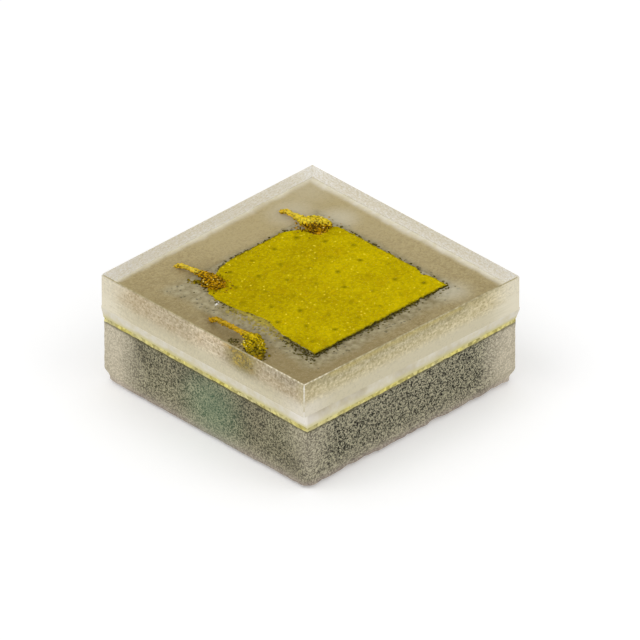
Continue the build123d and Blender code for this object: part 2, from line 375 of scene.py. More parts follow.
# %% Dish of the fill
FILL_CELLS = 144
CORNER_SKEW = 0.035
WIRE_3_END = 0.175
SINK, SLAB_GAP = 0.020, 0.0005
LEFT_LAP = (-0.258, 0.482, -0.487, 0.873), (-0.258, 0.482, -0.252, 0.968), (-0.458, 0.411, -0.937, 0.349)
RIGHT_LAP = (0.352, 0.432, 0.560, 0.830), (0.491, 0.345, 0.918, 0.396)


def slab_skew(x, y, share=1.0):
    """The slab's front side is sawn slightly out of square: y moves in towards the left end of that side."""
    along = (slab_edge - x) / (2 * slab_edge)
    return y + share * CORNER_SKEW * along * max(-y / slab_edge, 0.0)


def lap_reach(x, y):
    """How far a point, in mm from the die's centre, lies beyond the edge of the bare yellow.

    Below 0 inside it. At the wired corners, each line of that edge has a point on it and the way across it.
    """
    ragged = 0.006 * grain((x, y, 0), 0.035) + 0.004 * grain((x, y, 0), 0.014, 2.0)
    lines = LEFT_LAP if x < 0 else RIGHT_LAP
    beyond = max((x - px) * nx + (y - py) * ny for px, py, nx, ny in lines)
    bow = 0.056 * math.exp(-((y + 0.06) / 0.17) ** 2)
    nick = 0.03 * math.exp(-((y + 0.335) / 0.035) ** 2)
    beyond = max(beyond, -cap_edge + bow - x, x - cap_edge + nick)
    return beyond + ragged


def off_cap(point):
    """How far, in mm, a point of the package lies outside the yellow cap's square, below 0 inside it."""
    return max(abs(point[0] - die_centre.x), abs(point[1] - die_centre.y)) - cap_edge


def dish_height(x, y):
    """Height of the fill's surface at a point of the package, in mm."""
    wall = slab_edge - max(abs(x), abs(y))
    corner = min(abs(x), abs(y)) / slab_edge
    left_right = smoothstep(0.45, 1.0, corner) if x * y < 0 else 0.0
    climb = (0.017 - 0.026 * left_right) * math.exp(-wall / 0.045)
    height = floor_level - 0.002 + climb + 0.0008 * grain((x, y, 0), 0.05, 9.0)
    dx, dy = x - die_centre.x, y - die_centre.y
    off_die = off_cap((x, y))
    if dy > 0.1:
        towards = max(0.0, 1 - max(off_die, 0) / 0.16) ** 2
        corner_share = smoothstep(0.16, 0.42, abs(dx)) * smoothstep(0.1, 0.42, dy)
        height += 0.034 * towards * corner_share
    edge_share = math.exp(-((dy + 0.06) / 0.2) ** 2) if dx < 0 else 0.0
    height += 0.033 * edge_share * max(0.0, 1 - max(off_die, 0) / 0.07) ** 2
    off_diode = math.hypot(x - diode_centre.x, y - diode_centre.y) - 0.05
    height += (diode_cap_top - 0.003 - floor_level) * (1 - smoothstep(0.0, 0.17, off_diode))
    height += 0.036 * (1 - smoothstep(0.0, 0.10, math.hypot(x - diode_centre.x, y - WIRE_3_END)))
    return min(height, fill_high.z - 0.002)


def fill_top(x, y):
    """Surface of the fill, where it laps on to the cap its thickness grows from a feather edge."""
    if off_cap((x, y)) > 0.002:
        return dish_height(x, y)
    beyond = lap_reach(x - die_centre.x, y - die_centre.y)
    return cap_top + min(max(beyond * 0.5, -0.02), 0.007)


bm = bmesh.new()
bmesh.ops.create_grid(bm, x_segments=FILL_CELLS, y_segments=FILL_CELLS, size=slab_edge)
for vert in bm.verts:
    vert.co.z = fill_top(vert.co.x, vert.co.y)


def under_cap(face):
    """True where the yellow cap lies over this face of the grid."""
    return all(off_cap(v.co) < -0.004 and v.co.z < cap_top - 0.012 for v in face.verts)


bmesh.ops.delete(bm, geom=[f for f in bm.faces if under_cap(f)], context="FACES")
below = bmesh.ops.extrude_face_region(bm, geom=bm.faces[:])
for vert in points(below["geom"]):
    vert.co.z = cap_top - 0.022 if off_cap(vert.co) < -0.012 else film_top
upright = [e for e in bm.edges if abs(e.verts[0].co.z - e.verts[1].co.z) > 0.03]
outer = [e for e in upright if max(map(abs, e.verts[0].co.xy)) > slab_edge - 0.001]
ring = bmesh.ops.subdivide_edges(bm, edges=outer, cuts=1)
for vert in points(ring["geom_inner"]):
    vert.co.z = floor_level - SINK - 0.004
for vert in bm.verts:
    share = smoothstep(film_top - 0.001, floor_level - SINK - 0.005, vert.co.z)
    squeeze = (ceramic_edge + (slab_edge - SLAB_GAP - ceramic_edge) * share) / slab_edge
    rough = 1 - 0.0022 * (1 - share) * (1 + grain((vert.co.x, vert.co.y, vert.co.z), 0.03))
    cut = FRONT_CUT * (1 - share) * smoothstep(0.70, 0.79, -vert.co.y)
    vert.co.y = slab_skew(vert.co.x, vert.co.y, share) * squeeze * rough + cut
    vert.co.x *= squeeze * rough
bmesh.ops.recalc_face_normals(bm, faces=bm.faces)
for face in bm.faces:
    face.smooth = face.normal.z > 0.7

# %% White fill material
# Silicone with white pigment, poured and cured: smooth and matt. Over the yellow film it is thin, so it looks
# beige there, and against the walls it is thick and white. Phosphor powder tints its feather edge at the left
# of the die and its lowest layer on the film.
fill_look, tree, place = new_material("white_silicone_poured")
x, y, z = add(tree, "SeparateXYZ", [place]).outputs
abs_x, abs_y, _ = add(tree, "SeparateXYZ", [add(tree, "VectorMath", [place], **ABSOLUTE)]).outputs
in_die = add(tree, "VectorMath", [place, (die_centre.x * MM, die_centre.y * MM, 0.0)], **MINUS)
die_x, die_y, _ = add(tree, "SeparateXYZ", [in_die]).outputs
ahead = add(tree, "Math", [x, y], **PLUS)
drift = add(tree, "TexNoise", [place, per_mm(0.16), 3.0])
haze = add(tree, "TexNoise", [place, per_mm(0.3), 4.0])
lumpy = add(tree, "MapRange", [add(tree, "TexNoise", [place, per_mm(0.03), 4.0]), 0.35, 0.65])
sand = grain_tones(tree, place, 0.010)

# Thick at the walls, a little narrower at the back left, and thin elsewhere.
narrow = add(tree, "Math", [y, 0.0], **LARGER)
narrow = add(tree, "Math", [narrow, -0.018, abs_y], **TIMES_PLUS)
outmost = add(tree, "Math", [abs_x, narrow], **LARGER)
outmost = add(tree, "Math", [drift, 0.05 * MM, outmost], **TIMES_PLUS)
thick = add(tree, "MapRange", [outmost, 0.762 * MM, 0.82 * MM], **SOFT)
hazy = add(tree, "Math", [haze, 1.2 * MM, ahead], **TIMES_PLUS)
hazy = add(tree, "MapRange", [hazy, -0.3 * MM, 1.5 * MM])
sandy = add(tree, "MapRange", [sand, 0.0, 1.0, -0.30, 0.30])
hazy = add(tree, "Math", [hazy, sandy], **PLUS, use_clamp=True)
thin = add(tree, "Mix", [hazy, "#8B794B", "#B3A274"], **COLOUR)
calm = add(tree, "Math", [lumpy, 0.15], **TIMES)
thin = add(tree, "Mix", [calm, thin, "#B8AA84"], **COLOUR)

# Painted shade along the die's edges: ash-grey and lumpy, wider at its left and front, with single dark
# specks of painted shade.
left_way = add(tree, "Math", [die_x, -1.0, -0.085 * MM], **TIMES_PLUS)
front_way = add(tree, "Math", [die_y, -1.0, -0.07 * MM], **TIMES_PLUS)
ring = die_x
for way in (left_way, die_y, front_way):
    ring = add(tree, "Math", [ring, way], **LARGER)
ring = add(tree, "Math", [drift, -0.10 * MM, ring], **TIMES_PLUS)
die_edge_shade = add(tree, "MapRange", [ring, (cap_edge + 0.01) * MM, (cap_edge - 0.07) * MM], **SOFT)
edge_shade_tone = add(tree, "Mix", [lumpy, "#887C56", "#ACA17E"], **COLOUR)
sparse = add(tree, "Math", [die_edge_shade, 0.05], **TIMES)
shade_specks = add(tree, "Math", [grain_tones(tree, place, 0.011), sparse], operation="LESS_THAN")
shade_specks = add(tree, "Math", [shade_specks, 0.6], **TIMES)

# Stained yellow, grain by grain, along the left edge of the die.
stain = add(tree, "Math", [sand.outputs["Green"], 0.075 * MM, die_x], **TIMES_PLUS)
stain = add(tree, "MapRange", [stain, -0.492 * MM, -0.474 * MM, 0.0, 0.85])
left_of = add(tree, "Math", [die_x, 0.0], operation="LESS_THAN")
ahead_of = add(tree, "MapRange", [die_y, -0.40 * MM, -0.26 * MM], **SOFT)
behind_of = add(tree, "MapRange", [die_y, 0.24 * MM, 0.12 * MM], **SOFT)
for limit in (left_of, ahead_of, behind_of):
    stain = add(tree, "Math", [stain, limit], **TIMES)
yellowed = add(tree, "Mix", [sand.outputs["Blue"], "#7C6E0C", "#B8A40A"], **COLOUR)

# Paler in four places: x, y, reach and strength. Whitest in the front corner, and yellowish above the film.
pale_spots = []
for *spot, reach, most in (
    (0.61, 0.40, 0.16, 0.5), (0.46, 0.62, 0.20, 0.45), (0.70, 0.73, 0.22, 0.22), (0.53, -0.55, 0.16, 0.4),
):
    pale_spots.append((soft_spot(tree, place, (*spot, 0.49), reach, 0.02, most), "#D6D0BA"))
nose = add(tree, "MapRange", [ahead, -1.38 * MM, -1.56 * MM, 0.0, 0.8], **SOFT)
cream = add(tree, "Mix", [lumpy, "#DED5B8", "#E6E0CE"], **COLOUR)
cream = add(tree, "Mix", [nose, cream, "#F8F2E8"], **COLOUR)
low = add(tree, "Math", [drift, 0.02 * MM, z], **TIMES_PLUS)
low = add(tree, "MapRange", [low, (film_top + 0.040) * MM, (film_top + 0.010) * MM, 0.0, 0.8], **SOFT)
body = thin
for share, colour in (
    (die_edge_shade, edge_shade_tone), (shade_specks, "#4C4630"), (stain, yellowed), *pale_spots, (thick, cream), (low, "#D6CC8A"),
):
    body = add(tree, "Mix", [share, body, colour], **COLOUR)
add(tree, "OutputMaterial", [add(tree, "BsdfPrincipled", {"Base Color": body, "Roughness": 0.5})])
finish_piece(bm, "white_fill", [fill_look], "white_silicone", ["reflector_fill"])

# %% [markdown]
# ## Phosphor
#
# Yellow phosphor powder in a thin binder is sprayed over everything on the ceramic before the fill is poured.
# On the die it is a level cap with a ragged rim, on the ceramic a film that shows as a line on the sawn
# sides, and on the wires a coarse sleeve. The cap is a grid with a roughened rim, extruded down to the film.

# %% Phosphor cap material
# Phosphor powder, sprayed and cured: a matt saturated yellow with single bright crystals, painted as glints
# in a bright yellow. The contact posts of the die show through as faint dark dots in staggered rows.
COAT = "phosphor", ["phosphor_coat"]
POST_PITCH, POST_ROW, POST_SPOT = 0.168, 0.135, 0.017

cap_look, tree, place = new_material("phosphor_sprayed_cap")
x, y, z = add(tree, "SeparateXYZ", [place]).outputs
centred = add(tree, "VectorMath", [place, (die_centre.x * MM, die_centre.y * MM, 0.0)], **MINUS)
powder = grain_tones(tree, place, 0.0095)

# Posts: the distance to the nearest one, where every second row is shifted by half a pitch.
flat = add(tree, "VectorMath", [centred, (1.0, 1.0, 0.0)], **TIMES)
half = Vector((POST_PITCH / 2, POST_ROW, 1)) * MM
shifted = add(tree, "VectorMath", [flat, (half.x, half.y, 0.0)], **MINUS)
even, odd = [add(tree, "VectorMath", [rows, half, -half], operation="WRAP") for rows in (flat, shifted)]
even, odd = [add(tree, "VectorMath", [rows], operation="LENGTH") for rows in (even, odd)]
to_post = add(tree, "Math", [even, odd], operation="MINIMUM")
dot = add(tree, "MapRange", [to_post, POST_SPOT * 1.5 * MM, 0.0], **SOFT)
abs_x, abs_y, _ = add(tree, "SeparateXYZ", [add(tree, "VectorMath", [centred], **ABSOLUTE)]).outputs
outmost = add(tree, "Math", [abs_x, abs_y], **LARGER)
inside = add(tree, "Math", [outmost, 0.44 * MM], operation="LESS_THAN")
uneven = add(tree, "MapRange", [add(tree, "TexNoise", [place, per_mm(0.19), 1.0]), 0.38, 0.62, 0.30, 0.85])
for limit in (uneven, inside):
    dot = add(tree, "Math", [dot, limit], **TIMES)

# Tones: patches, single grains, and a slow change from the left corner to the right one.
across = add(tree, "Math", [x, y], **MINUS)
mix = add(tree, "Math", [add(tree, "TexNoise", [place, per_mm(0.20), 3.0]), 0.45, 0.26], **TIMES_PLUS)
mix = add(tree, "Math", [powder, 0.30, mix], **TIMES_PLUS)
mix = add(tree, "Math", [across, 0.09 / MM, mix], **TIMES_PLUS)
mix = add(tree, "MapRange", [mix, 0.32, 0.98])
warm = add(tree, "MapRange", [add(tree, "TexNoise", [place, per_mm(0.045), 2.0]), 0.54, 0.76, 0.0, 0.35])
# Painted glints: a few grains are painted bright yellow, where crystals would catch the light.
crystals = add(tree, "TexVoronoi", [place, per_mm(0.022)])
pick = add(tree, "SeparateColor", [crystals.outputs["Color"]])
chosen = add(tree, "Math", [pick, 0.88], operation="GREATER_THAN")
close = add(tree, "Math", [crystals, 0.24], operation="LESS_THAN")
spark = add(tree, "Math", [chosen, close], **TIMES)
# Painted shade: the cap's side walls, below its top, are painted near-black olive.
down = add(tree, "MapRange", [z, (cap_top - 0.002) * MM, (cap_top - 0.008) * MM])
dark_shade = add(tree, "Mix", [powder, "#15150A", "#6E6212"], **COLOUR)
body = add(tree, "Mix", [mix, "#8E7A00", "#DCC600"], **COLOUR)
for share, colour in ((warm, "#C09C00"), (dot, "#6A6200"), (spark, "#EBD838"), (down, dark_shade)):
    body = add(tree, "Mix", [share, body, colour], **COLOUR)
rough = add(tree, "Bump", {"Height": powder, "Strength": 0.35, "Distance": 0.003 * MM})
shader = {"Base Color": body, "Roughness": 0.8, "Specular IOR Level": 0.03, "Normal": rough}
add(tree, "OutputMaterial", [add(tree, "BsdfPrincipled", shader)])

# %% Phosphor cap
CAP_CELLS = 150

bm = bmesh.new()
bmesh.ops.create_grid(bm, x_segments=CAP_CELLS, y_segments=CAP_CELLS, size=cap_edge)
for vert in bm.verts:
    x, y, z = vert.co
    rim = cap_edge - max(abs(x), abs(y))
    near = 1 - smoothstep(0.0, 0.03, rim)
    pull = near * (0.008 + 0.007 * grain((x, y, 0), 0.024, 4.0) + 0.007 * grain((x, y, 0), 0.012, 6.0))
    vert.co.x = x - math.copysign(min(pull, abs(x)), x) * (abs(x) > cap_edge - 0.03)
    vert.co.y = y - math.copysign(min(pull, abs(y)), y) * (abs(y) > cap_edge - 0.03)
    vert.co.z = cap_top - 0.0012 + 0.0011 * grain((x, y, 0), 0.02) - 0.004 * near * near
bmesh.ops.translate(bm, vec=(die_centre.x, die_centre.y, 0), verts=bm.verts)
rim_edges = [e for e in bm.edges if e.is_boundary]
for depth in (0.010, 0.020, cap_top - film_top + 0.002):
    grown = bmesh.ops.extrude_edge_only(bm, edges=rim_edges)
    rim_verts = points(grown["geom"])
    edges = [g for g in grown["geom"] if isinstance(g, bmesh.types.BMEdge)]
    rim_edges = [e for e in edges if all(v in rim_verts for v in e.verts)]
    for vert in rim_verts:
        vert.co.z = cap_top - depth
        dx, dy = vert.co.x - die_centre.x, vert.co.y - die_centre.y
        swell = 1 + 0.010 * grain((dx, dy, depth * 2), 0.016, depth * 50) + 0.006
        swell = min(swell, cap_edge / max(abs(dx), abs(dy)))
        vert.co.x, vert.co.y = die_centre.x + dx * swell, die_centre.y + dy * swell
bmesh.ops.holes_fill(bm, edges=rim_edges, sides=0)
bmesh.ops.recalc_face_normals(bm, faces=bm.faces)
finish_piece(bm, "phosphor_cap", [cap_look], *COAT)

# %% Phosphor film on the ceramic
# The same powder, cut through by the saw: a line of torn yellow grains.
film_look, tree, place = new_material("phosphor_sawn_film")
pick = grain_tones(tree, place, 0.02)
drift = add(tree, "MapRange", [add(tree, "TexNoise", [place, per_mm(0.11), 2.0]), 0.35, 0.65])
dull = add(tree, "Mix", [pick, "#A0965C", "#E6DCA0"], **COLOUR)
vivid = add(tree, "Mix", [pick, "#B6A84C", "#F4E886"], **COLOUR)
line = add(tree, "Mix", [drift, dull, vivid], **COLOUR)
add(tree, "OutputMaterial", [add(tree, "BsdfPrincipled", {"Base Color": line, "Roughness": 0.7})])

film_low = Vector((-ceramic_edge, -ceramic_edge, ceramic_high.z))
bm = fine_block(film_low, Vector((ceramic_edge, ceramic_edge, film_top)), 89)
for vert in bm.verts:
    x, y, z = vert.co
    near = 1 - smoothstep(0.0, 0.02, ceramic_edge - max(abs(x), abs(y)))
    pull = near * (0.0035 + 0.003 * grain((x, y, z * 3), 0.035) + 0.002 * grain((x, y, z * 3), 0.016, 5.0))
    if abs(x) > ceramic_edge - 0.02:
        vert.co.x = x - math.copysign(pull, x)
    if abs(y) > ceramic_edge - 0.02:
        vert.co.y = y - math.copysign(pull + (FRONT_CUT * near if y < 0 else 0.0), y)
    if z < (ceramic_high.z + film_top) / 2:
        vert.co.z += near * 0.004 * grain((x, y, 0), 0.03, 8.0)
bmesh.ops.recalc_face_normals(bm, faces=bm.faces)
finish_piece(bm, "phosphor_film", [film_look], *COAT)

# %% [markdown]
# ## Coated wires, heaps and crumbs
#
# Each gold wire wears a sleeve of phosphor powder, with a heap on its ball. The sleeve is grown out of the
# CAD wire's own faces, which are cut small, smoothed and pushed out by grain noise. At this scale each grain
# shows, so crumbs, small balls of 20 triangles turned and stretched at random from a fixed seed, are strewn
# over sleeves and heaps, along the rim of the cap and on the fill beside it.

# %% Phosphor grain materials
def powder_look(name, dark_hex, light_hex, lit_top_hex, top_share, dark_part=0.0):
    """Powder in lumps: every grain has its own tone, a part is dark, and upper sides are painted lighter, as
    painted light from above.
    """
    material, tree, place = new_material(name)
    pick = add(tree, "MapRange", [grain_tones(tree, place, 0.010), dark_part, 0.9])
    specks = add(tree, "Mix", [pick, dark_hex, light_hex], **COLOUR)
    # Painted light: faces that turn upward are painted towards the top colour.
    upward = add(tree, "SeparateXYZ", [add(tree, "NewGeometry").outputs["Normal"]]).outputs["Z"]
    lit = add(tree, "MapRange", [upward, 0.0, 0.85, 0.0, top_share])
    golden = add(tree, "Mix", [lit, specks, lit_top_hex], **COLOUR)
    shader = {"Base Color": golden, "Roughness": 0.7, "Specular IOR Level": 0.05}
    add(tree, "OutputMaterial", [add(tree, "BsdfPrincipled", shader)])
    return material


# Phosphor powder, sprayed on the wires: brown where it is thick and shaded, golden yellow on top.
lump_look = powder_look("phosphor_powder_lumps", "#3C2800", "#F0C018", "#FFE650", 0.58, 0.1)
# Phosphor powder, heaped on a bonded ball and open to the light: golden, with dark gaps between its grains.
gold_look = powder_look("phosphor_powder_golden", "#3A2800", "#FFE020", "#FFE644", 0.45, 0.1)
# Phosphor powder, heaped on a bonded ball: darker, as painted shade on the heaps' shaded sides.
shaded_heap_look = powder_look("phosphor_powder_heap_shaded", "#1E1200", "#E0AA04", "#A88010", 0.30, 0.35)
# Phosphor powder, sprayed on the small diode: the same grains, thinner and more olive.
olive_look = powder_look("phosphor_powder_olive", "#2A2200", "#E8CA08", "#CCB218", 0.38, 0.15)
# Phosphor powder, thin on the diode's wire: more of the dark gaps shows.
thin_look = powder_look("phosphor_powder_thin", "#3A2800", "#D0A010", "#D8B42C", 0.50, 0.15)
# Phosphor powder, fallen round the small diode: in the shade of the heap.
dim_look = powder_look("phosphor_powder_shaded", "#1A1600", "#A48E10", "#7E6E0C", 0.30, 0.15)
# Dark phosphor crumbs at the die's rim: real crumbs, whose near-black colour is painted shade of the crevice
# between the yellow and the fill.
dark_shade_look = powder_look("phosphor_dark_shade_crumbs", "#1E1C10", "#6A6230", "#807236", 0.25)

# %% Crumbs
random.seed(7)


def strew(bm, place_mm, size):
    """One crumb of about that radius, turned and stretched at random."""
    turn = Euler([random.uniform(0, math.tau) for _ in range(3)]).to_matrix().to_4x4()
    stretch = Matrix.Diagonal([size * random.uniform(0.6, 1.3) for _ in range(3)] + [1])
    matrix = Matrix.Translation(place_mm) @ turn @ stretch
    bmesh.ops.create_icosphere(bm, subdivisions=1, radius=1, matrix=matrix)


def crumb_coat(bm, count, size):
    """Seats crumbs in the faces of a mesh. They grow in a mesh of their own, which is quicker."""
    ground = [(f.calc_center_median(), f.normal.copy()) for f in bm.faces]
    crumbs = bmesh.new()
    for place_mm, normal in random.sample(ground, min(count, len(ground))):
        radius = size * random.uniform(0.6, 1.3)
        strew(crumbs, place_mm + normal * radius * 0.2, radius)
    carrier = bpy.data.meshes.new("crumbs")
    crumbs.to_mesh(carrier)
    crumbs.free()
    bm.from_mesh(carrier)
    bpy.data.meshes.remove(carrier)


# %% Sleeves and heaps
SLEEVE = 0.0052
ALL_AXES = {"use_axis_x": True, "use_axis_y": True, "use_axis_z": True}


def heap(bm, place_mm, size, turn, seed):
    """A rough ball of powder, turned by that many degrees."""
    shape = Matrix.Rotation(math.radians(turn), 4, "Z") @ Matrix.Diagonal((*size, 1))
    shape = Matrix.Translation(place_mm) @ shape
    made = bmesh.ops.create_icosphere(bm, subdivisions=5, radius=1, matrix=shape)
    for vert in made["verts"]:
        out = (vert.co - place_mm).normalized()
        vert.co += out * (0.022 * grain(vert.co, 0.05, seed) + 0.008 * grain(vert.co, 0.016, seed + 2))


def sleeve(number, heap_place, heap_size, heap_turn, looks):
    """A wire's coat, grown out of the CAD wire's own faces, with the heap on its ball, as one piece.

    The three looks are those of the coat, of the heap and of the heap's side towards the front; the last
    is the heap's powder in painted shade.
    """
    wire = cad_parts[f"bond_wire_{number}"]
    bm = bmesh.new()
    bm.from_mesh(wire.data)
    bm.transform(Matrix.Scale(1 / MM, 4) @ wire.matrix_world)
    bmesh.ops.remove_doubles(bm, verts=bm.verts, dist=1e-5)
    bmesh.ops.triangulate(bm, faces=bm.faces)
    for longest in (0.03, 0.015, 0.009):
        long_edges = [e for e in bm.edges if e.calc_length() > longest]
        bmesh.ops.subdivide_edges(bm, edges=long_edges, cuts=1, use_grid_fill=True)
        bmesh.ops.triangulate(bm, faces=bm.faces)
    for _ in range(2):
        bmesh.ops.smooth_vert(bm, verts=bm.verts, factor=0.5, **ALL_AXES)
    bmesh.ops.recalc_face_normals(bm, faces=bm.faces)
    bm.normal_update()
    for vert in bm.verts:
        thicker = 0.020 * (1 - smoothstep(0.03, 0.18, (vert.co - heap_place).length))
        rough = 0.003 * grain(vert.co, 0.020, number) + 0.002 * grain(vert.co, 0.010, number + 4)
        vert.co += vert.normal * (SLEEVE + thicker + rough)
    heap(bm, heap_place, heap_size, heap_turn, number)
    bm.normal_update()
    crumb_coat(bm, 900, 0.0066)
    for face in bm.faces:
        from_heap = face.calc_center_median() - heap_place
        if from_heap.length < 0.125 + 0.05 * grain(from_heap, 0.012, 1.0):
            in_shade = from_heap.x + from_heap.y < -0.055 + 0.06 * grain(from_heap, 0.014)
            face.material_index = 2 if in_shade else 1
    finish_piece(bm, f"phosphor_sleeve_{number}", looks, *COAT)


ball_1 = Vector((die_centre.x + 0.38, 0.385, cap_top))
ball_2 = Vector((die_centre.x - 0.38, 0.385, cap_top))
ball_3 = Vector((diode_centre.x + 0.024, diode_centre.y + 0.012, diode_cap_top))
heap_1 = ball_1 + Vector((0.056, 0.042, 0.010))
heap_2 = ball_2 + Vector((-0.022, 0.006, 0.006))
heap_3 = ball_3 + Vector((-0.019, -0.037, 0.004))
sleeve(1, heap_1, (0.048, 0.078, 0.042), 12, [lump_look, gold_look, shaded_heap_look])
sleeve(2, heap_2, (0.054, 0.062, 0.050), 0, [lump_look, shaded_heap_look, shaded_heap_look])
sleeve(3, heap_3, (0.115, 0.050, 0.040), 45, [thin_look, olive_look, dim_look])

# %% Sparks on the heaps
# Painted glints: grains that lie open on a heap are painted pale yellow, as single points that catch the
# light.
spark_look = powder_look("phosphor_grains_painted_glint", "#FFE95A", "#FFF7A0", "#FFF27A", 0.3)
HEAPS = (
    (heap_1 + Vector((0, 0, 0.002)), Vector((0.052, 0.080, 0.046))),
    (heap_2 + Vector((0, 0.002, 0.002)), Vector((0.056, 0.064, 0.054))),
    (ball_3 + Vector((-0.010, -0.025, 0.006)), Vector((0.070, 0.080, 0.044))),
)

bm = bmesh.new()
for middle, size in HEAPS:
    for _ in range(18):
        way = Vector((random.uniform(-1, 0.6), random.uniform(-1, 1), random.uniform(0.1, 1))).normalized()
        strew(bm, middle + way * size, random.uniform(0.0028, 0.0055))
finish_piece(bm, "phosphor_sparks", [spark_look], *COAT)

# %% Powder beside the heaps
SAW_LANE = -0.76


def white_ground(x, y):
    """The fill's surface at a point of the package, on the die or beside it."""
    return max(fill_top(x, y), dish_height(x, y))


def scatter(bm, places, spread, count, ground, sizes, lift=0.0):
    """Strews crumbs on the ground about each place, ever fewer outwards and none in the saw lane."""
    for place_x, place_y in places:
        for _ in range(count):
            x, y = max(random.gauss(place_x, spread), SAW_LANE), random.gauss(place_y, spread)
            strew(bm, Vector((x, y, ground(x, y) + lift)), random.uniform(*sizes))


bm = bmesh.new()
diode_foot = (diode_centre.x - 0.05, diode_centre.y - 0.055)
for (smear_x, smear_y), along, across, count in (
    (diode_foot, 0.035, 0.035, 170), ((-0.398, 0.456), 0.024, 0.009, 120),
):
    for _ in range(count):
        u, v = random.gauss(0, along), random.gauss(0, across)
        x, y = max(smear_x + (u + v) * math.sqrt(0.5), SAW_LANE), smear_y + (v - u) * math.sqrt(0.5)
        strew(bm, Vector((x, y, white_ground(x, y))), random.uniform(0.004, 0.008))
finish_piece(bm, "phosphor_smears", [dim_look], *COAT)

# %% Crumbs along the outline of the yellow
CRUMB_TRIES, CRUMB_EDGE = 26000, 0.57


def crumb_odds(dx, dy, beyond):
    """The chance of a crumb at a point, in mm from the die's centre, that far beyond the bare yellow.

    Most lie at the front and the fewest at the yellow stain on the left.
    """
    share, spread = 1.0, 0.003
    if -dx > abs(dy):
        spread = 0.010 + 0.018 * (1 - smoothstep(-0.42, -0.24, dy))
        if dy < 0.20:
            share = 1 - 0.9 * smoothstep(-0.32, -0.20, dy) * (1 - smoothstep(0.12, 0.22, dy))
    if dx < -0.3 and dy > 0.20:
        share = 0.14
    if dy > abs(dx) and dx > -0.05 or dx > abs(dy):
        share = 0.55
    if -dy > abs(dx):
        share, spread = 1 - 0.75 * smoothstep(0.10, 0.45, dx), 0.008
    return share * math.exp(-max(beyond, 0.0) / spread)


bm = bmesh.new()
for _ in range(CRUMB_TRIES):
    dx, dy = random.uniform(-CRUMB_EDGE, CRUMB_EDGE), random.uniform(-CRUMB_EDGE, CRUMB_EDGE)
    outside = max(abs(dx), abs(dy)) - cap_edge
    beyond = max(outside, lap_reach(dx, dy))
    if beyond < -0.003 or random.random() > crumb_odds(dx, dy, beyond):
        continue
    x, y = die_centre.x + dx, die_centre.y + dy
    ground = dish_height(x, y) if outside > 0 else fill_top(x, y)
    if 0 < outside < 0.004:
        ground = random.uniform(ground, cap_top - 0.003)
    strew(bm, Vector((x, y, ground)), random.uniform(0.003, 0.0085))
scatter(bm, [(-0.690, -0.095)], 0.028, 70, dish_height, (0.003, 0.008))
scatter(bm, [(-0.700, -0.235)], 0.028, 60, dish_height, (0.003, 0.008))
finish_piece(bm, "phosphor_crumbs", [dark_shade_look], *COAT)

# %% Glints
# Painted glints: single crystals of phosphor at the edge of the yellow, painted near white where they catch
# the lamp.
glint_look, tree, place = new_material("phosphor_crystal_painted_glint")
sheen = add(tree, "Mix", [add(tree, "TexNoise", [place, per_mm(0.01)]), "#F4F0DC", "#FFFFFF"], **COLOUR)
add(tree, "OutputMaterial", [add(tree, "BsdfPrincipled", {"Base Color": sheen, "Roughness": 0.15})])

GLINT_PLACES = (-0.398, 0.146), (-0.460, 0.230), (0.407, 0.474)

bm = bmesh.new()
scatter(bm, GLINT_PLACES, 0.010, 4, white_ground, (0.005, 0.008), lift=0.001)
finish_piece(bm, "phosphor_glints", [glint_look], *COAT)

# %% Powder at the feet of the heaps
# Loose grains that rolled off the two heaps on the die: they soften the line between heap and yellow.
def yellow_ground(x, y):
    """The highest of the fill and the yellow cap at a point of the package, in mm."""
    return max(white_ground(x, y), cap_top - 0.001 if off_cap((x, y)) < -0.01 else 0.0)


FEET = (ball_1.x + 0.036, ball_1.y + 0.020), (ball_2.x - 0.004, ball_2.y - 0.016), (0.425, 0.458)

bm = bmesh.new()
scatter(bm, FEET, 0.046, 110, yellow_ground, (0.003, 0.007))
finish_piece(bm, "phosphor_feet", [shaded_heap_look], *COAT)

# %% [markdown]
# ## Clear slab
#
# The top of the package is clear silicone, moulded with a glossy top and then sawn with the ceramic, so its
# sides are frosted. It is one closed prism with narrow broken edges. It reaches a little into the white fill,
# so that there is no air between them. The render should look through it with real refraction, but rays from
# the lamps and between matt surfaces pass straight through: they light the inside evenly and without noise.

# %% Clear silicone materials
def let_light_in(tree, glass):
    """Shows glass to the camera and to reflections, and lets light reach what lies behind it."""
    path = add(tree, "LightPath")
    clear = add(tree, "BsdfTransparent")
    soft = add(tree, "MixShader", [path.outputs["Is Diffuse Ray"], glass, clear])
    mixed = add(tree, "MixShader", [path.outputs["Is Shadow Ray"], soft, clear])
    add(tree, "OutputMaterial", [mixed])


SILICONE_IOR = 1.41

# Clear silicone, moulded: flat, it bends the view of everything below and mirrors only a trace of the studio.
moulded, tree, _ = new_material("clear_silicone_moulded")
shine = add(tree, "Math", [add(tree, "Fresnel", {"IOR": SILICONE_IOR}), 0.02], **TIMES)
bent = add(tree, "BsdfRefraction", {"Color": "#FFFFFF", "Roughness": 0.0, "IOR": SILICONE_IOR})
mirror = add(tree, "BsdfGlossy", {"Color": "#FFFFFF", "Roughness": 0.03})
let_light_in(tree, add(tree, "MixShader", [shine, bent, mirror]))

# Clear silicone, sawn: the blade leaves a fine frost with scratches along its way, a grainy pale veil over
# what lies behind it. The front cuts differ in their frost, the far cuts seen from inside are painted whiter
# and less clear as painted light shining through them, the corners are milky, the frost is duller near the
# top and white near the fill, and a yellow spot before the diode is a painted image of the diode seen through
# the cut.
sawn, tree, place = new_material("clear_silicone_sawn")
x, y, z = add(tree, "SeparateXYZ", [place]).outputs
soft = add(tree, "TexNoise", [place, per_mm(0.02), 3.0])

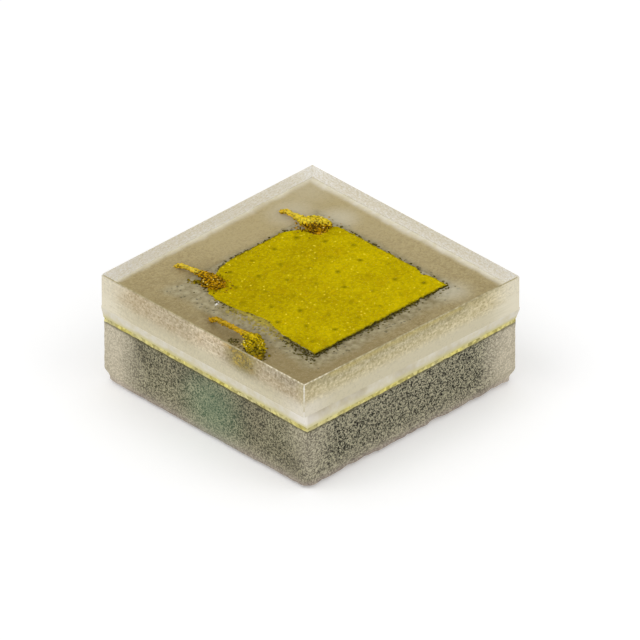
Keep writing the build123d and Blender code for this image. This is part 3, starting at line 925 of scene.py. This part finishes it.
# Frost: soft and streaked, with bright and dark specks and fine scratches along the blade's way.
streaks = add(tree, "Mapping", {"Vector": place, "Scale": (1.0, 1.0, 9.0)})
streaks = add(tree, "TexNoise", [streaks, per_mm(0.10), 5.0])
tone = add(tree, "MapRange", [add(tree, "Math", [streaks, 0.25, soft], **TIMES_PLUS), 0.36, 0.90])
pick = grain_tones(tree, place, 0.009)
bright_speck = add(tree, "MapRange", [pick, 0.72, 1.0, 0.0, 0.50])
dark_speck = add(tree, "MapRange", [pick, 0.22, 0.0, 0.0, -0.45])
specks = add(tree, "Math", [bright_speck, dark_speck], **PLUS)
scratches = add(tree, "Mapping", {"Vector": place, "Scale": (1.0, 1.0, 26.0)})
scratches = add(tree, "TexNoise", [scratches, per_mm(0.22), 2.0])
scratches = add(tree, "MapRange", [scratches, 0.60, 0.70, 0.0, 0.45])
specks = add(tree, "Math", [specks, scratches], **PLUS)
tone = add(tree, "Math", [tone, specks], **PLUS, use_clamp=True)

# Where on the slab: the far cuts from inside, the right side, near the top, near the fill, the left and right
# corners, the front corner, before the diode and before its wire.
rear = add(tree, "MapRange", [add(tree, "Math", [x, y], **LARGER), 0.788 * MM, 0.796 * MM])
rear = add(tree, "Math", [rear, add(tree, "NewGeometry").outputs["Backfacing"]], **TIMES)
right_side = add(tree, "MapRange", [y, -0.70 * MM, -0.77 * MM])
depth = add(tree, "Math", [soft, 0.03 * MM, z], **TIMES_PLUS)
shallow = add(tree, "MapRange", [depth, (slab_high.z - 0.048) * MM, (slab_high.z + 0.006) * MM], **SOFT)
deep = add(tree, "MapRange", [depth, (floor_level + 0.120) * MM, (floor_level + 0.045) * MM], **SOFT)
corner = add(tree, "Math", [add(tree, "Math", [x, y], **MINUS)], **ABSOLUTE)
corner = add(tree, "Math", [streaks, 0.25 * MM, corner], **TIMES_PLUS)
corner = add(tree, "MapRange", [corner, 1.44 * MM, 1.70 * MM], **SOFT)
ahead = add(tree, "MapRange", [add(tree, "Math", [x, y], **PLUS), -1.30 * MM, -1.56 * MM], **SOFT)
# A painted image of the diode: on the left cut before it the frost is painted yellow, and is clearer and
# smoother.
smear = soft_spot(tree, place, (-0.80, -0.285, 0.635), 0.17, 0.04)
blind = soft_spot(tree, place, (-0.80, -0.02, 0.642), 0.18, 0.06, 0.30)

# Colour of the frost there.
left_tone = add(tree, "Mix", [tone, "#C6B28E", "#F2E4C8"], **COLOUR)
left_tone = add(tree, "Mix", [smear, left_tone, "#C2B272"], **COLOUR)
right_tone = add(tree, "Mix", [tone, "#CABC8C", "#F2E6C0"], **COLOUR)
top_tone = add(tree, "Mix", [tone, "#B4A87C", "#D0C498"], **COLOUR)
top_share = add(tree, "Math", [corner, -1.0, shallow], **TIMES_PLUS, use_clamp=True)
right_tone = add(tree, "Mix", [top_share, right_tone, top_tone], **COLOUR)
deep_tone = add(tree, "Mix", [ahead, "#D6CDB0", "#E6DECA"], **COLOUR)
# Painted light: seen from inside, the far cuts are painted white, standing in for light shining through them.
far_backlit_tone = add(tree, "Mix", [tone, "#FAF4E2", "#FFFFFF"], **COLOUR)
tinge = left_tone
for share, colour in ((right_side, right_tone), (deep, deep_tone), (corner, "#ECE4CC"), (rear, far_backlit_tone)):
    tinge = add(tree, "Mix", [share, tinge, colour], **COLOUR)

# Share of light that comes through it, from 0 to 1.
veil = add(tree, "Math", [tone, -0.20, 0.60], **TIMES_PLUS)
for share, change in ((right_side, -0.15), (smear, 0.18), (corner, -0.15), (deep, -0.35)):
    veil = add(tree, "Math", [share, change, veil], **TIMES_PLUS)
veil.use_clamp = True
veil = add(tree, "Math", [veil, blind], **MINUS, use_clamp=True)
far_veil = add(tree, "Math", [tone, -0.20, 0.24], **TIMES_PLUS)
veil = add(tree, "MapRange", [rear, 0.0, 1.0, veil, far_veil])
smooth = add(tree, "MapRange", [smear, 0.0, 1.0, 0.22, 0.07])
shader = add(tree, "BsdfPrincipled", {
    "Base Color": tinge, "Roughness": smooth, "IOR": SILICONE_IOR, "Transmission Weight": veil,
    "Specular IOR Level": 0.1,
})
let_light_in(tree, shader)

# Clear silicone, sawn edge: the narrow broken edges scatter the light, so they read as thin grainy lines. The
# upright front edge is painted near white, a painted highlight that fades towards the bottom.
chipped, tree, place = new_material("clear_silicone_broken_edge")
x, y, z = add(tree, "SeparateXYZ", [place]).outputs
bright = add(tree, "MapRange", [add(tree, "TexNoise", [place, per_mm(0.02), 3.0]), 0.40, 0.62])
rear = add(tree, "MapRange", [add(tree, "Math", [x, y], **LARGER), 0.780 * MM, 0.792 * MM])
nose = add(tree, "MapRange", [y, -0.34 * MM, -0.46 * MM])
nose_end = add(tree, "MapRange", [x, -0.48 * MM, -0.68 * MM])
nose = add(tree, "Math", [nose, nose_end], **TIMES)
upright = add(tree, "MapRange", [z, (slab_high.z - 0.006) * MM, (slab_high.z - 0.012) * MM])
fade = add(tree, "MapRange", [z, (floor_level + 0.02) * MM, (slab_high.z - 0.05) * MM])
edge_tone, rear_tone, nose_tone, upright_highlight_tone = [
    add(tree, "Mix", [bright, dark_hex, light_hex], **COLOUR)
    for dark_hex, light_hex in (
        ("#968A62", "#BEB28A"), ("#DAD6C6", "#FFFFFF"), ("#A89C78", "#EAE0C4"), ("#D6CBAE", "#FFFDF4"),
    )
]
upright_highlight_tone = add(tree, "Mix", [fade, "#D2C8A8", upright_highlight_tone], **COLOUR)
for share, colour in ((rear, rear_tone), (nose, nose_tone), (upright, upright_highlight_tone)):
    edge_tone = add(tree, "Mix", [share, edge_tone, colour], **COLOUR)
let_light_in(tree, add(tree, "BsdfPrincipled", {"Base Color": edge_tone, "Roughness": 0.4}))

# %% Clear slab
EDGE_BREAK, FRONT_CORNER = 0.005, -1.4


def break_edges(edges, offset):
    """Gives the slab's edges a flat of that offset."""
    bmesh.ops.bevel(bm, geom=edges, offset=offset, affect="EDGES", segments=1, profile=0.5, material=-1)


bm = bmesh.new()
bmesh.ops.create_cube(bm, size=1)
tall = slab_high.z - floor_level + SINK
bmesh.ops.scale(bm, vec=(2 * slab_edge, 2 * slab_edge, tall), verts=bm.verts)
bmesh.ops.translate(bm, vec=(0, 0, slab_high.z - tall / 2), verts=bm.verts)
for vert in bm.verts:
    vert.co.y = slab_skew(vert.co.x, vert.co.y)
upright = [e for e in bm.edges if abs(e.verts[0].co.z - e.verts[1].co.z) > 0.01]
front_edge = [e for e in upright if e.verts[0].co.x + e.verts[0].co.y < FRONT_CORNER]
other_edges = [e for e in upright if e not in front_edge]
break_edges(front_edge, 1.1 * EDGE_BREAK)
top_edges = [e for e in bm.edges if all(v.co.z > slab_high.z - 0.001 for v in e.verts)]
break_edges(top_edges + other_edges, EDGE_BREAK)
bm.normal_update()
for face in bm.faces:
    middle = face.calc_center_median()
    broken = max(abs(n) for n in face.normal) < 0.95
    in_front = middle.x + middle.y < FRONT_CORNER or middle.z > slab_high.z - 2 * EDGE_BREAK
    face.material_index = 2 if broken and in_front else 0 if abs(face.normal.z) > 0.95 else 1
bmesh.ops.recalc_face_normals(bm, faces=bm.faces)
finish_piece(bm, "clear_slab", [moulded, sawn, chipped], "clear_silicone", ["encapsulant"])

# %% [markdown]
# ## Metal and silicon inside and underneath
#
# The CAD nodes that keep their shape get the finish of the real thing in their own material slots. Most lie
# under the coat and the fill, but the two pads underneath show when the part is turned over.

# %% Metals and dice
def metal_look(name, dark_hex, light_hex, roughness, ripple_mm, metallic=1.0):
    """A plated or cut surface: two close tones, and a shallow ripple of the given size."""
    material, tree, place = new_material(name)
    ripple = add(tree, "TexNoise", [place, per_mm(ripple_mm), 3.0])
    tone = add(tree, "Mix", [ripple, dark_hex, light_hex], **COLOUR)
    worn = add(tree, "MapRange", [ripple, 0.0, 1.0, roughness - 0.08, roughness + 0.08])
    relief = add(tree, "Bump", {"Height": ripple, "Strength": 0.3, "Distance": 0.002 * MM})
    shader = {"Base Color": tone, "Metallic": metallic, "Roughness": worn, "Normal": relief}
    add(tree, "OutputMaterial", [add(tree, "BsdfPrincipled", shader)])
    return material


gold_plate = metal_look("gold_plated_pad", "#C9A24E", "#E8C678", 0.34, 0.03)
gold_wire = metal_look("gold_drawn_wire", "#D9A93C", "#F2CC66", 0.25, 0.01)
copper = metal_look("copper_plated_via", "#A9603C", "#C97F56", 0.4, 0.03)
solder = metal_look("gold_tin_solder_reflowed", "#A8A294", "#C8C2B2", 0.35, 0.05)
silicon = metal_look("silicon_diced", "#4A4A50", "#62626A", 0.3, 0.04, 0.0)
nitride = metal_look("gallium_nitride_etched", "#6A7468", "#8C968A", 0.45, 0.008, 0.0)
contact = metal_look("titanium_evaporated", "#8F8B86", "#A9A5A0", 0.3, 0.01)

dressed = {
    gold_plate: "anode_pad cathode_pad bond_trace die_attach_pad "
                "die_bond_pad_1 die_bond_pad_2 diode_bond_pad",
    gold_wire: "bond_wire_1 bond_wire_2 bond_wire_3",
    copper: "anode_vias cathode_vias",
    solder: "die_solder diode_solder",
    silicon: "led_die esd_diode",
    nitride: "emitter_layer",
    contact: "contact_posts",
}
for material, node_names in dressed.items():
    for node_name in node_names.split():
        for material_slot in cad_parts[node_name].material_slots:
            material_slot.material = material
